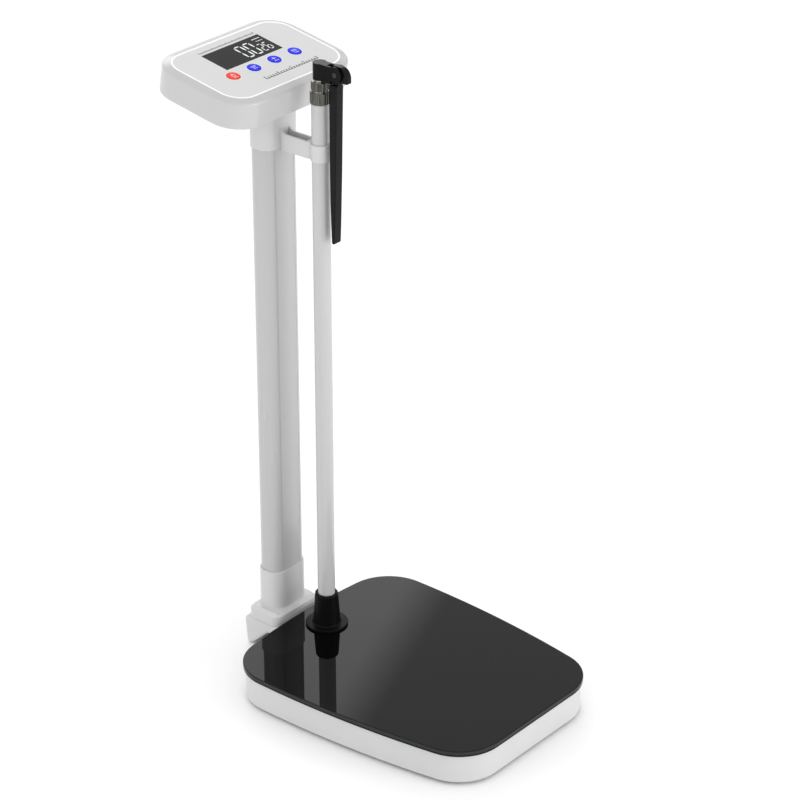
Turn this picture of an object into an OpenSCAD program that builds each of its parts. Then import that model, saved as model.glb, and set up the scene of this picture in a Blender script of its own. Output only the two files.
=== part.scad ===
// Electronic column body scale with a three-section telescopic height rod.
// Millimetres, +Z up, -Y is the side where the person steps on, floor at z = 0.
// The origin lies on the floor, in the middle of the whole object's footprint.

/* [Platform] */
// Widest width of the glass platform
plate_w = 290; // [270:2:310]
// Depth of the glass platform, front edge to back edge
plate_l = 354; // [330:2:380]
// Thickness of the glass
plate_t = 7; // [5:0.5:10]
// Radius of the four corners of the glass
corner_r = 56; // [40:2:64]
// How far the moulded base stands in from the edge of the glass
base_inset = 3; // [2:1:8]
// Height of the moulded base
base_h = 35; // [28:1:45]
// Gap between the base and the floor
floor_gap = 4; // [2:0.5:8]
// Wall thickness of the moulded base
base_wall = 3; // [2:0.5:4]

/* [Column] */
// Width of the flat-oval column
column_w = 53; // [44:1:60]
// Depth of the flat-oval column
column_d = 32; // [26:1:36]
// Wall of the column extrusion
column_wall = 1.6; // [1.2:0.1:2.5]
// Distance from the middle of the glass to the middle of the column
column_y = 208; // [204:1:216]
// Height of the arm that steadies the height rod
arm_z = 642; // [560:1:650]
// Height of the arm and its ring
arm_h = 20; // [14:1:24]

/* [Height rod] */
// Distance from the middle of the glass to the rod
rod_y = 137.4; // [134:0.2:142]
// Outside diameter of the fixed tube
outer_d = 20.4; // [19:0.2:22]
// Outside diameter of the middle tube
middle_d = 16.4; // [15.4:0.2:16.8]
// Outside diameter of the inner tube
inner_d = 12.2; // [11:0.2:12.6]
// Wall of each tube
tube_wall = 1.1; // [0.8:0.1:1.2]
// Top of the fixed tube
outer_top = 716; // [700:1:730]
// How far each moving tube is drawn out
rod_travel = 600; // [400:10:610]
// Length of the folding measuring arm below its pivot
paddle_l = 201; // [160:1:210]

/* [Head] */
// Width of the display head
head_w = 203; // [190:1:215]
// Depth of the display head along its face
head_l = 136; // [126:1:142]
// Thickness of the display head
head_t = 33.6; // [30:0.2:36]
// Tilt of the face toward the person
head_tilt = 9.8; // [5:0.1:15]
// Width of the display window
window_w = 91.6; // [80:0.2:96]
// Height of the display window
window_l = 39.6; // [34:0.2:42]
// Diameter of a button
button_d = 16; // [14:0.5:18]
// Spacing of the four buttons
button_pitch = 33.5; // [28:0.5:36]

/* [Hidden] */
$fn = 96;

// Heights of the platform, from the floor up
gasket_t = 0.6;
base_top = floor_gap + base_h;
glass_z = base_top + gasket_t;
plate_top = glass_z + plate_t;
deck_t = 3;
deck_z = base_top - deck_t;

// Plan of the glass: two long side arcs, a straight front and a shallow back arc
side_r = 1305;
side_y = 94;
back_r = 810;
side_x = plate_w / 2 - side_r;
front_y = -plate_l / 2;
back_y = plate_l / 2 - back_r;

// Pressed rails that stiffen the deck
rail_w = 26;
rail_h = 12;
rail_x = 62;

// Feet
foot_x = 92;
foot_front = -128;
foot_back = 130;
foot_d = 44;
foot_spots = [[-foot_x, foot_front], [foot_x, foot_front],
    [-foot_x, foot_back], [foot_x, foot_back]];
foot_pad_t = 5;
foot_cup_t = 8;
cell_z = foot_pad_t + foot_cup_t;
cell_t = 4;
pan_z = 6;
pan_t = 1.2;

// Column and its fittings
column_r = 13;
socket_fit = 1.8;
socket_top = 104;
plinth_w = 75.2;
plinth_front = 184;
plinth_back = 230.5;
plinth_z = base_top;
plinth_t = 15;
neck_wide = 76;
column_z = plinth_z + 6;
column_top = 712;
collar_z = 644;
collar_top = 706;
collar_fit = 1.5;
arm_w = 7.6;
neck_w = 4.6;
slot_w = 10.4;
gusset_r = 10;

// Height rod
rod_floor = 18;
bush_fit = 0.1;
run_fit = 0.05;
collar_low_z = 709;
collar_low_top = 723;
collar_up_z = 724.5;
collar_up_top = 734.7;
middle_top = 729;
middle_z = 40;
inner_z = 60;
bracket_z = 737;
bracket_top = 756.5;
pivot_d = 25.7;
pivot_z = 748.6;
cheek_r = 9.2;
bracket_w = 12;
tongue_w = 6;
tongue_gap = 0.3;
pin_r = 1.8;

// Display head: its face passes through this point and leans back
face_y = 218.9;
face_z = 735;
face_mid = 12;
rim_w = 9.9;
rim_drop = 1.7;
head_r = 37;
recess = 1.2;
sheet_t = 0.8;
groove_w = 2.4;
window_y = 33.2;
skin = 2.6;
cover_t = 2.4;
board_z = -13;
dome_z = board_z + 0.8;
button_x = [for (i = [0:3]) (i - 1.5) * button_pitch];
stem_d = 9;
jack_z = -20;
jack_r = 2.8;
jack_l = 9;
jack_d = 9;
cell_d = 14.2;
cell_l = 72;
cell_pitch = 14.4;
cell_y = 15;
cells_z = -21.6;

// The footprint's middle: front edge of the glass to the back of the head
head_back = face_y + (face_mid + head_l / 2) * cos(head_tilt)
    + head_t * sin(head_tilt);
shift_y = -(front_y + head_back) / 2;

// ---------- helpers ----------

module place() {
    translate([0, shift_y, 0]) children();
}

// Rectangle with round corners, made of exact arcs
module round_rect(w, l, r) {
    square([w - 2 * r, l], center = true);
    square([w, l - 2 * r], center = true);
    for (sx = [-1, 1], sy = [-1, 1])
        translate([sx * (w / 2 - r), sy * (l / 2 - r)]) circle(r);
}

module plug(w, l, r, h) {
    linear_extrude(h) round_rect(w, l, r);
}

// Points along an arc, from angle a0 to a1; first = 1 leaves out its start
function arc(c, r, a0, a1, n, first = 0) =
    [for (i = [first:n]) c + r * [cos(a0 + (a1 - a0) * i / n),
                                  sin(a0 + (a1 - a0) * i / n)]];

// Right-hand crossing of two circles
function meet(c1, r1, c2, r2) =
    let (d = norm(c2 - c1), u = (c2 - c1) / d,
         a = (d * d + r1 * r1 - r2 * r2) / (2 * d),
         h = sqrt(r1 * r1 - a * a))
    c1 + a * u + h * [u[1], -u[0]];

function angle(from, to) = atan2(to[1] - from[1], to[0] - from[0]);

// Right half of the platform's outline, moved inward by a constant amount
function half_plan(inset) =
    let (c1 = [side_x, side_y], c2 = [0, back_y],
         fy = front_y + corner_r,
         fx = side_x + sqrt(pow(side_r - corner_r, 2) - pow(fy - side_y, 2)),
         cf = [fx, fy],
         cb = meet(c2, back_r - corner_r, c1, side_r - corner_r),
         r = corner_r - inset,
         a1 = angle(c1, cf), a2 = angle(c1, cb), a3 = angle(c2, cb))
    concat(arc(cf, r, -90, a1, 14),
           arc(c1, side_r - inset, a1, a2, 10, 1),
           arc(cb, r, a2, a3, 14, 1),
           arc(c2, back_r - inset, a3, 90, 5, 1));

module plan(inset) {
    half = half_plan(inset);
    polygon(concat(half, [for (i = [len(half) - 2:-1:0])
                              [-half[i][0], half[i][1]]]));
}

module at_column() {
    translate([0, column_y, 0]) children();
}

module at_rod() {
    translate([0, rod_y, 0]) children();
}

module tube(d_out, d_in, z0, z1) {
    translate([0, 0, z0]) difference() {
        cylinder(h = z1 - z0, d = d_out);
        translate([0, 0, -1]) cylinder(h = z1 - z0 + 2, d = d_in);
    }
}

// Frame of the display face: x to the right, y up the slope, z out of the face
module on_face() {
    translate([0, face_y, face_z]) rotate([head_tilt, 0, 0]) children();
}

// Frame of the measuring arm's pivot
module at_pivot() {
    translate([0, rod_y - pivot_d, pivot_z]) children();
}

// Side profile in (y, z), extruded across the width
module side_plate(w) {
    rotate([90, 0, 90]) translate([0, 0, -w / 2]) linear_extrude(w) children();
}

// ---------- platform ----------

module base_shell() {
    color("white") place() difference() {
        union() {
            difference() {
                translate([0, 0, floor_gap])
                    linear_extrude(base_h) plan(base_inset);
                translate([0, 0, floor_gap - 1])
                    linear_extrude(base_h - deck_t + 1)
                        plan(base_inset + base_wall);
            }
            for (s = foot_spots) translate([s[0], s[1], cell_z + cell_t])
                cylinder(h = deck_z - cell_z - cell_t + 0.5, d = 16);
        }
        translate([0, rod_y, deck_z - 1]) cylinder(h = deck_t + 2, d = 25);
    }
}

module base_pan() {
    color("silver") place() difference() {
        translate([0, 0, pan_z]) linear_extrude(pan_t)
            plan(base_inset + base_wall + 0.4);
        for (s = foot_spots) translate([s[0], s[1], pan_z - 1])
            cylinder(h = pan_t + 2, d = foot_d + 5);
    }
}

module rail(w, l, h) {
    difference() {
        cube([w, l, h], center = true);
        translate([0, 0, -1.5]) cube([w - 3, l + 2, h - 1.5], center = true);
    }
}

module deck_frame() {
    across = 2 * rail_x - rail_w;
    color("silver") place() translate([0, 0, deck_z - rail_h / 2]) {
        for (s = [-1, 1]) translate([s * rail_x, -20, 0])
            rail(rail_w, 250, rail_h);
        for (y = [-90, 60]) translate([0, y, 0]) rotate([0, 0, 90])
            rail(rail_w, across, rail_h);
    }
}

module glass_gasket() {
    color("black") place() translate([0, 0, base_top]) linear_extrude(gasket_t)
        difference() {
            plan(base_inset + 1);
            plan(base_inset + 9);
        }
}

module glass_plate() {
    color([0.08, 0.08, 0.08]) place() translate([0, 0, glass_z]) difference() {
        linear_extrude(plate_t) plan(0);
        translate([0, rod_y, -1]) cylinder(h = plate_t + 2, d = outer_d + 1.2);
    }
}

module load_cell(i) {
    s = foot_spots[i];
    color("silver") place() translate([s[0], s[1], cell_z]) difference() {
        translate([-15, -15, 0]) cube([30, 30, cell_t]);
        for (k = [-1, 1]) translate([k * 10.5, 0, cell_t / 2])
            cube([3, 20, cell_t + 2], center = true);
    }
}

module foot_cup(i) {
    s = foot_spots[i];
    color("dimgray") place() translate([s[0], s[1], foot_pad_t])
        cylinder(h = foot_cup_t, d = foot_d);
}

module foot_pad(i) {
    s = foot_spots[i];
    color([0.1, 0.1, 0.1]) place() translate([s[0], s[1], 0])
        rotate_extrude() polygon([[0, 0], [17, 0], [19, 2],
                                  [19, foot_pad_t], [0, foot_pad_t]]);
}

// ---------- neck and column ----------

module neck_block() {
    top = plinth_z - 1;
    heel = 1;
    color("white") place() difference() {
        side_plate(neck_wide) polygon(concat(
            [[plate_l / 2 - 10, top - 13], [200, top - 13], [226, heel],
             [233, heel]],
            arc([230, top - 6], 6, 0, 90, 8),
            [[plate_l / 2 - 10, top]]));
        linear_extrude(2 * top) plan(base_inset);
    }
}

module column_socket() {
    mid = (plinth_front + plinth_back) / 2;
    deep = plinth_back - plinth_front;
    bevel = 4;
    color("white") place() difference() {
        union() {
            translate([0, mid, plinth_z - 1]) {
                plug(plinth_w, deep, 9, plinth_t - bevel + 1);
                hull() {
                    translate([0, 0, plinth_t - bevel]) plug(plinth_w, deep, 9, 1);
                    translate([0, 0, plinth_t])
                        plug(plinth_w - 2 * bevel, deep - 2 * bevel, 6, 1);
                }
            }
            at_column() translate([0, 0, plinth_z])
                plug(column_w + 2 * socket_fit, column_d + 2 * socket_fit,
                     column_r + socket_fit, socket_top - plinth_z);
        }
        at_column() translate([0, 0, column_z])
            plug(column_w, column_d, column_r, 100);
        at_column() translate([0, 0, column_z - 12])
            plug(30, 16, 6, 20);
    }
}

module column() {
    inner = column_wall;
    groove = 0.5;
    color("white") place() at_column() difference() {
        translate([0, 0, column_z])
            plug(column_w, column_d, column_r, column_top - column_z);
        translate([0, 0, column_z - 1])
            plug(column_w - 2 * inner, column_d - 2 * inner,
                 column_r - inner, column_top - column_z + 2);
        for (sx = [-1, 1], sy = [-1, 1])
            translate([sx * 15.5, sy * column_d / 2, (socket_top + collar_z) / 2])
                cube([1, 2 * groove, collar_z - socket_top - 1], center = true);
    }
}

module column_plug() {
    color("gray") place() at_column() translate([0, 0, column_top - 14])
        plug(column_w - 2 * column_wall, column_d - 2 * column_wall,
             column_r - column_wall, 12);
}

// Low screw heads that hold the column in its socket
module column_screws() {
    color("silver") place() for (s = [-1, 1])
        translate([s * 9, column_y + column_d / 2 + socket_fit, 82])
            rotate([-90, 0, 0]) cylinder(h = 1.4, d1 = 7, d2 = 6);
}

module top_collar() {
    fit = collar_fit;
    color("white") place() at_column() difference() {
        translate([0, 0, collar_z])
            plug(column_w + 2 * fit, column_d + 2 * fit, column_r + fit,
                 collar_top - collar_z);
        translate([0, 0, collar_z - 1])
            plug(column_w, column_d, column_r, collar_top - collar_z + 2);
    }
}

// Half-widths of the steadying arm from its neck, at the ring, to its full width
function neck_half(y0, y1) = [for (i = [0:6])
    let (t = i / 6) [neck_w + (arm_w - neck_w) * (1 - pow(1 - t, 2)),
                     y0 + (y1 - y0) * t]];

module arm_plan(y0, y1, back) {
    side = concat(neck_half(y0, y1), [[arm_w, back]]);
    polygon(concat(side, [for (i = [len(side) - 1:-1:0])
                              [-side[i][0], side[i][1]]]));
}

// The arm's top sweeps up to the collar in a round gusset
module rod_arm() {
    back = column_y - column_d / 2 - collar_fit;
    full = rod_y + 16;
    color("white") place() translate([0, 0, arm_z]) difference() {
        union() {
            intersection() {
                linear_extrude(arm_h + gusset_r) arm_plan(rod_y + 8, full, back);
                side_plate(40) polygon(concat(
                    [[rod_y, 0], [back, 0], [back, arm_h + gusset_r]],
                    arc([back - gusset_r, arm_h + gusset_r], gusset_r, 0, -90, 8, 1),
                    [[rod_y, arm_h]]));
            }
            at_rod() cylinder(h = arm_h, d = outer_d + 3);
        }
        translate([-slot_w / 2, full, arm_h - 8])
            cube([slot_w, back - full - 1.2, 40]);
        at_rod() translate([0, 0, -1]) cylinder(h = arm_h + 2, d = outer_d);
    }
}

// ---------- height rod ----------

module rod_socket() {
    color("silver") place() at_rod() difference() {
        union() {
            translate([0, 0, deck_z - 4]) cylinder(h = 4, d = 56);
            translate([0, 0, rod_floor - 4])
                cylinder(h = base_top - rod_floor + 4, d = 24.6);
        }
        translate([0, 0, rod_floor]) cylinder(h = 60, d = outer_d);
    }
}

module outer_tube() {
    color("white") place() at_rod()
        tube(outer_d, outer_d - 2 * tube_wall, rod_floor, outer_top);
}

module rod_boot() {
    low = 16.4;
    high = 13.6;
    top = 90 - plate_top;
    bore = outer_d / 2;
    color([0.08, 0.08, 0.08]) place() at_rod() translate([0, 0, plate_top])
        rotate_extrude() polygon(concat(
            [[bore, 0], [25.3, 0], [25.3, 2.4], [24.7, 3], [low, 3]],
            arc([high - 1.8, top - 1.8], 1.8, 0, 90, 6),
            [[bore, top]]));
}

// A collar that clamps the tube below it and guides the tube inside it
module guide_collar(d, z0, z1, step_z, d_fixed, d_moving) {
    difference() {
        translate([0, 0, z0]) rotate_extrude() polygon(
            [[0, 0], [d / 2 - 0.5, 0], [d / 2, 0.5], [d / 2, z1 - z0 - 0.5],
             [d / 2 - 0.5, z1 - z0], [0, z1 - z0]]);
        translate([0, 0, z0 - 1]) cylinder(h = step_z - z0 + 1, d = d_fixed);
        translate([0, 0, z0 - 1]) cylinder(h = z1 - z0 + 2, d = d_moving);
    }
}

module lower_collar() {
    color("silver") place() at_rod()
        guide_collar(22.8, collar_low_z, collar_low_top, outer_top, outer_d,
                     middle_d + 2 * run_fit);
}

module middle_tube() {
    color("silver") place() at_rod()
        tube(middle_d, middle_d - 2 * tube_wall, middle_z, middle_top);
}

module middle_bush() {
    color("gray") place() at_rod() translate([0, 0, middle_z - 8]) {
        cylinder(h = 8, d = outer_d - 2 * tube_wall - 2 * bush_fit);
        translate([0, 0, 8]) cylinder(h = 12, d = middle_d - 2 * tube_wall);
    }
}

module upper_collar() {
    color("silver") place() at_rod()
        guide_collar(20.2, collar_up_z, collar_up_top, middle_top, middle_d,
                     inner_d + 2 * run_fit);
}

module inner_tube() {
    color("silver") place() at_rod()
        tube(inner_d, inner_d - 2 * tube_wall, inner_z, bracket_z + 14);
}

module inner_bush() {
    color("gray") place() at_rod() translate([0, 0, inner_z - 6]) {
        cylinder(h = 6, d = middle_d - 2 * tube_wall - 2 * bush_fit);
        translate([0, 0, 6]) cylinder(h = 12, d = inner_d - 2 * tube_wall);
    }
}

module rod_bracket() {
    h = bracket_top - bracket_z;
    slot = tongue_w + 2 * tongue_gap;
    color([0.08, 0.08, 0.08]) place() difference() {
        union() {
            at_rod() translate([0, 0, bracket_z]) cylinder(h = h, d = 15.8);
            translate([-bracket_w / 2, rod_y - pivot_d + 6, bracket_z])
                cube([bracket_w, pivot_d - 6, h]);
            at_pivot() rotate([0, 90, 0])
                cylinder(h = bracket_w, r = cheek_r, center = true);
        }
        at_rod() translate([0, 0, bracket_z - 1])
            cylinder(h = 15.3, d = inner_d + 2 * run_fit);
        at_pivot() {
            rotate([0, 90, 0]) cylinder(h = slot, r = 12.6, center = true);
            translate([-slot / 2, -20, -20]) cube([slot, 24, 40]);
            translate([-slot / 2, 0, 0]) cube([slot, 12.6, 20]);
            rotate([0, 90, 0]) cylinder(h = 30, r = pin_r, center = true);
            rotate([0, -90, 0]) translate([0, 0, bracket_w / 2 - 0.8])
                cylinder(h = 2, r = 2.9);
        }
    }
}

module pivot_screw() {
    color("silver") place() at_pivot() rotate([0, -90, 0]) difference() {
        union() {
            translate([0, 0, -bracket_w / 2])
                cylinder(h = bracket_w, r = pin_r);
            translate([0, 0, bracket_w / 2 - 0.8]) cylinder(h = 0.7, r = 2.7);
        }
        translate([0, 0, bracket_w / 2]) cube([0.7, 4.6, 0.9], center = true);
    }
}

// Side profiles of the measuring arm, in (y, z) about its pivot
module arm_profile() {
    tip = -paddle_l;
    polygon(concat(
        [[-3.2, -12.8], [8.2, -12.8], [8.2, tip + 87], [7.9, tip + 50],
         [7.1, tip + 20]],
        arc([4.2, tip + 2.2], 2.2, 0, -90, 5),
        arc([4, tip + 1.6], 1.6, -90, -180, 3, 1),
        [[1.2, tip + 28], [-0.8, tip + 89]]));
}

module tongue_profile() {
    circle(8.6);
    polygon(concat(
        [[4.5, -14], [5.4, 7.4]],
        arc([3.0, 7.4], 2.4, 0, 90, 4),
        arc([-5.4, -1.5], 11.3, 90, 180, 12),
        arc([-15.2, -6.6], 1.5, 180, 270, 3),
        [[-9.4, -8.4], [-3.2, -9.5], [-3.2, -14]]));
}

module measuring_arm() {
    color([0.08, 0.08, 0.08]) place() at_pivot() difference() {
        union() {
            side_plate(11.6) arm_profile();
            side_plate(tongue_w) tongue_profile();
        }
        rotate([0, 90, 0]) cylinder(h = 30, r = pin_r + run_fit, center = true);
    }
}

// ---------- display head ----------

// Steel saddle that carries the head on top of the column
module head_mount() {
    wide = 9;
    low = collar_z + 40;
    free = 2 * collar_fit + 0.4;
    color("silver") place() difference() {
        union() {
            on_face() translate([0, -10, -head_t + cover_t])
                plug(90, 56, 6, 2);
            at_column() translate([0, 0, low])
                plug(column_w + wide, column_d + wide, column_r + wide / 2,
                     column_top - low);
        }
        at_column() translate([0, 0, low - 1])
            plug(column_w + free, column_d + free, column_r + free / 2,
                 collar_top - low + 1.2);
        at_column() translate([0, 0, low])
            plug(column_w, column_d, column_r, column_top);
        on_face() translate([-100, -100, -head_t + cover_t - 60])
            cube([200, 200, 60]);
    }
}

module head_outline(grow) {
    translate([0, face_mid])
        round_rect(head_w + 2 * grow, head_l + 2 * grow, head_r + grow);
}

module head_shell() {
    edge = 3;
    color("white") place() on_face() difference() {
        union() {
            translate([0, 0, -head_t])
                linear_extrude(head_t - rim_drop - edge) head_outline(0);
            hull() {
                translate([0, 0, -rim_drop - edge - 0.5])
                    linear_extrude(0.5) head_outline(0);
                translate([0, 0, -rim_drop - 0.5])
                    linear_extrude(0.5) head_outline(-1.8);
                translate([0, 0, -0.5])
                    linear_extrude(0.5) head_outline(-rim_w + 0.4);
            }
        }
        translate([0, 0, -head_t - 1])
            linear_extrude(head_t - 6 + 1) head_outline(-skin);
        translate([0, 0, -7])
            linear_extrude(7 - recess - 2) head_outline(-rim_w - 2);
        translate([0, 0, -recess]) linear_extrude(3) head_outline(-rim_w);
        translate([-window_w / 2 + 2, window_y - window_l / 2 + 2, -8])
            cube([window_w - 4, window_l - 4, 10]);
        for (x = button_x) translate([x, 0, -8])
            cylinder(h = 10, d = stem_d + 1);
        translate([0, head_l / 2 + face_mid, jack_z]) rotate([90, 0, 0])
            cylinder(h = 10, d = jack_d, center = true);
    }
}

module head_cover() {
    color("white") place() difference() {
        on_face() translate([0, 0, -head_t + 0.4])
            linear_extrude(cover_t - 0.4) head_outline(-skin - 0.1);
        at_column() translate([0, 0, collar_z])
            plug(column_w + 2 * collar_fit + 0.4, column_d + 2 * collar_fit + 0.4,
                 column_r + collar_fit + 0.2, 100);
    }
}

module head_screws() {
    color("silver") place() on_face()
        for (sx = [-1, 1], y = [-30, 55])
            translate([sx * 78, y, -head_t - 0.8]) cylinder(h = 1.2, d = 6);
}

module face_sheet() {
    color("gainsboro") place() on_face() translate([0, 0, -recess])
        difference() {
            linear_extrude(sheet_t) head_outline(-rim_w - groove_w);
            translate([-window_w / 2, window_y - window_l / 2, -1])
                cube([window_w, window_l, 3]);
            for (x = button_x) translate([x, 0, -1])
                cylinder(h = 3, d = button_d + 0.8);
        }
}

module display_lens() {
    color([0.15, 0.15, 0.16]) place() on_face()
        translate([-window_w / 2, window_y - window_l / 2, -recess])
            cube([window_w, window_l, sheet_t]);
}

module display_module() {
    color("dimgray") place() on_face()
        translate([-window_w / 2 - 1, window_y - window_l / 2 - 1, -9.4])
            cube([window_w + 2, window_l + 2, 5]);
}

module main_board() {
    color("green") place() on_face()
        translate([-65, -12, board_z - 0.8]) cube([130, 70, 1.6]);
}

module dome_switches() {
    color("silver") place() on_face() for (x = button_x)
        translate([x, 0, dome_z]) cylinder(h = 1.5, d = 8);
}

module battery_pack() {
    color("royalblue") place() on_face()
        for (i = [0:3])
            translate([-cell_l / 2, cell_y + i * cell_pitch, cells_z])
                rotate([0, 90, 0]) cylinder(h = cell_l, d = cell_d);
}

// Round power inlet in the back wall
module power_jack() {
    color("dimgray") place() on_face()
        translate([0, face_mid + head_l / 2 + 0.6, jack_z]) rotate([90, 0, 0])
            difference() {
                cylinder(h = jack_l + 4, d = jack_d);
                translate([0, 0, -1]) cylinder(h = jack_l + 1, r = jack_r);
            }
}

// A round button cap with its stem, resting just above its dome switch
module button(i, shade) {
    top = -recess + sheet_t + 0.7;
    low = -recess + 0.6;
    color(shade) place() on_face() translate([button_x[i], 0, 0]) {
        translate([0, 0, low]) rotate_extrude() polygon(
            [[0, 0], [button_d / 2, 0], [button_d / 2, top - low - 0.3],
             [button_d / 2 - 0.3, top - low], [0, top - low]]);
        translate([0, 0, dome_z + 2.2])
            cylinder(h = low - dome_z - 2.1, d = stem_d);
    }
}

base_shell();
base_pan();
deck_frame();
glass_gasket();
glass_plate();
load_cell(0);  // load_cell_front_left
load_cell(1);  // load_cell_front_right
load_cell(2);  // load_cell_back_left
load_cell(3);  // load_cell_back_right
foot_cup(0);  // foot_cup_front_left
foot_cup(1);  // foot_cup_front_right
foot_cup(2);  // foot_cup_back_left
foot_cup(3);  // foot_cup_back_right
foot_pad(0);  // foot_pad_front_left
foot_pad(1);  // foot_pad_front_right
foot_pad(2);  // foot_pad_back_left
foot_pad(3);  // foot_pad_back_right
neck_block();
column_socket();
column();
column_plug();
column_screws();
top_collar();
rod_arm();
rod_socket();
outer_tube();
rod_boot();
lower_collar();
middle_tube();
middle_bush();
upper_collar();
inner_tube();
inner_bush();
rod_bracket();
pivot_screw();
measuring_arm();
head_mount();
head_shell();
head_cover();
head_screws();
face_sheet();
display_lens();
display_module();
main_board();
dome_switches();
battery_pack();
power_jack();
button(0, "orangered");  // button_power
button(1, "blue");  // button_one
button(2, "blue");  // button_two
button(3, "blue");  // button_three
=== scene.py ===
# %% [markdown]
# # A column body scale with a telescopic height rod
# The scale stands on four rubber feet. A white base carries a black glass platform,
# a flat-oval column rises behind it, and a tilted head holds the display and four keys.
# In front of the column a three-section rod carries a folding measuring arm.
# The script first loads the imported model, which fixes every place and size, and then
# models what the eye sees, piece by piece, on top of it.

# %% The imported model
import math
import bpy
import bmesh
from mathutils import Matrix, Vector


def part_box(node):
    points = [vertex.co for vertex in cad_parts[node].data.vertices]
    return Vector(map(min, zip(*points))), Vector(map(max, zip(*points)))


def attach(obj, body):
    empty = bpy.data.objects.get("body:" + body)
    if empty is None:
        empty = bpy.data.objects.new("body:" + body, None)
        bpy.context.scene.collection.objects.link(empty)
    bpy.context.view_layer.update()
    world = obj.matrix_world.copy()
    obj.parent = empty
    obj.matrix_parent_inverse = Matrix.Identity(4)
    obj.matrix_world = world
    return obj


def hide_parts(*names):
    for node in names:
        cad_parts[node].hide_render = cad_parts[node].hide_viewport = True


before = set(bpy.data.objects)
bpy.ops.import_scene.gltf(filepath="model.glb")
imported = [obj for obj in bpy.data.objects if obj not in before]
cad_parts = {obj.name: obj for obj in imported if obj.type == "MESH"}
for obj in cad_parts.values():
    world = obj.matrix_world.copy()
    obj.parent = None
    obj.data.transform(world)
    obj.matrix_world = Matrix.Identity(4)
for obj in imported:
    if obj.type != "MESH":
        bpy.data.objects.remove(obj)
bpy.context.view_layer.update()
scene = bpy.context.scene

# %% [markdown]
# ## Camera
# The camera looks down on the scale from its front left corner through a long lens, so
# that upright edges stay nearly parallel. A long lens and a far stand give that calm,
# catalogue-like view; a short lens close by would make the head look too large.

# %% Camera
lens = bpy.data.cameras.new("long_lens")
lens.lens, lens.sensor_width = 135.82, 36.0
lens.clip_end = 60.0
camera = bpy.data.objects.new("camera", lens)
camera.location = (-2.30476, -1.96740, 1.92223)
camera.rotation_euler = (math.radians(62.86), 0.0, math.radians(-50.085))
scene.collection.objects.link(camera)
scene.camera = camera
print("camera", round(camera.location.length, 2), "m from the middle of the floor")

# %% [markdown]
# ## Floor and light
# A white floor larger than the view is enough of a studio. The world is white, which is
# what makes the white parts read as white, and two soft panels add the fall of light over
# the round parts. Two cards stand in the world, behind the scale, where the glass mirrors
# them: a bright one, and a grey one with a leaning edge, which splits the glass into a
# lighter and a darker part.

# %% Floor
FLOOR_REACH, FLOOR_DROP = 9.0, 0.0004

floor_paint = bpy.data.materials.new("studio_floor")
floor_paint.use_nodes = True
shader = floor_paint.node_tree.nodes["Principled BSDF"]
shader.inputs["Base Color"].default_value = (0.97, 0.97, 0.97, 1.0)
shader.inputs["Roughness"].default_value = 0.9
sheet = bmesh.new()
bmesh.ops.create_grid(sheet, x_segments=1, y_segments=1, size=FLOOR_REACH)
floor_mesh = bpy.data.meshes.new("floor")
sheet.to_mesh(floor_mesh)
sheet.free()
floor_mesh.materials.append(floor_paint)
floor = bpy.data.objects.new("floor", floor_mesh)
floor.location.z = -FLOOR_DROP
scene.collection.objects.link(floor)
print("floor", floor.dimensions.x, "m across")


# %% Light
def panel(name, place, aim, size, power):
    light = bpy.data.lights.new(name, "AREA")
    light.shape, light.size, light.size_y = "RECTANGLE", size[0], size[1]
    light.energy = power
    lamp = bpy.data.objects.new(name, light)
    lamp.location = place
    lamp.rotation_euler = (Vector(aim) - Vector(place)).to_track_quat("-Z", "Y").to_euler()
    scene.collection.objects.link(lamp)


world = bpy.data.worlds.new("studio")
scene.world = world
world.use_nodes = True
sky = world.node_tree


def sky_maths(kind, first, second=None, third=None, clamped=False):
    node = sky.nodes.new("ShaderNodeMath")
    node.operation, node.use_clamp = kind, clamped
    for socket, value in zip(node.inputs, (first, second, third)):
        if isinstance(value, (int, float)):
            socket.default_value = value
        elif value is not None:
            sky.links.new(value, socket)
    return node.outputs["Value"]


def fade(value, none, full):
    slope = 1 / (full - none)
    return sky_maths("MULTIPLY_ADD", value, slope, -none * slope, True)


def along(direction_x, direction_y):
    return sky_maths("ADD", sky_maths("MULTIPLY", axes.outputs["X"], direction_x),
                     sky_maths("MULTIPLY", axes.outputs["Y"], direction_y))


# The camera's heading over the floor, and how bright the world and its cards are
HEADING_X, HEADING_Y = 0.765, 0.644
WORLD_LIGHT, GREY_CARD_LOSS, BACK_CARD_GAIN = 1.04, 0.60, 2.0
LEAN, LEAN_START, LEAN_BLUR = 0.73, 0.385, 1 / 120

way = sky.nodes.new("ShaderNodeTexCoord")
axes = sky.nodes.new("ShaderNodeSeparateXYZ")
sky.links.new(way.outputs["Generated"], axes.inputs["Vector"])
up = axes.outputs["Z"]
aside, ahead = along(HEADING_Y, -HEADING_X), along(HEADING_X, HEADING_Y)
leaning = sky_maths("SUBTRACT", sky_maths("MULTIPLY_ADD", up, LEAN, aside), LEAN_START)
grey_card = sky_maths("MULTIPLY", fade(leaning, -LEAN_BLUR, LEAN_BLUR), fade(ahead, 0.375, 0.5))
grey_card = sky_maths("MULTIPLY", grey_card, fade(up, 0.75, 0.5833))
back_card = sky_maths("MULTIPLY", fade(ahead, 0.711, 0.822), fade(up, 0.267, 0.378))
back_card = sky_maths("MULTIPLY", back_card, fade(up, 0.711, 0.6))
brightness = sky_maths("MULTIPLY", sky_maths("MULTIPLY_ADD", grey_card, -GREY_CARD_LOSS, WORLD_LIGHT),
                       sky_maths("MULTIPLY_ADD", back_card, BACK_CARD_GAIN, 1.0))
sky.nodes["Background"].inputs["Color"].default_value = (1.0, 1.0, 1.0, 1.0)
sky.links.new(brightness, sky.nodes["Background"].inputs["Strength"])
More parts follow.
